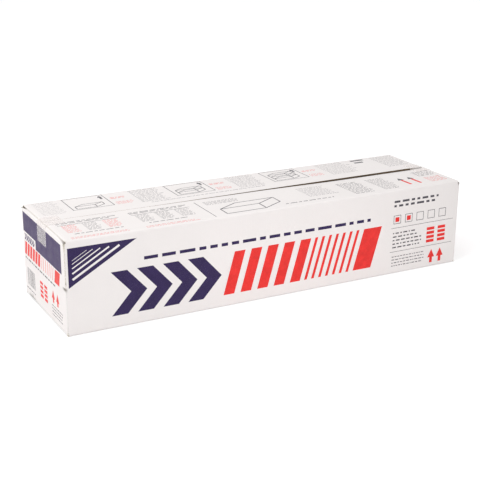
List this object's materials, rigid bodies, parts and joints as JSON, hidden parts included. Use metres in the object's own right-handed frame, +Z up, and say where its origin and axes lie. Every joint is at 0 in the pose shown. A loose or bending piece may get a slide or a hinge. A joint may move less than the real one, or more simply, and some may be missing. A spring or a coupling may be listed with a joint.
{
  "type": "corrugated shipping carton",
  "caption": "Long closed carton of white-faced corrugated board, folded from one slotted blank, with its top seam taped at the ends, packed with building sections.",
  "frame": {"origin": "middle of the footprint, on the surface that the carton rests on", "axes": "+X along the length, to the right as the front is seen, +Y from the front to the back, +Z up"},
  "size_m": [1.24, 0.351, 0.2581],
  "materials": {
    "board": "white coated liner outside, kraft inside",
    "tape": "hazy clear film",
    "goods": "matte"
  },
  "bodies": {
    "root": {"carton": "board", "tape_left_end": "tape", "tape_right_end": "tape", "packed_sections": "goods"}
  },
  "joints": []
}
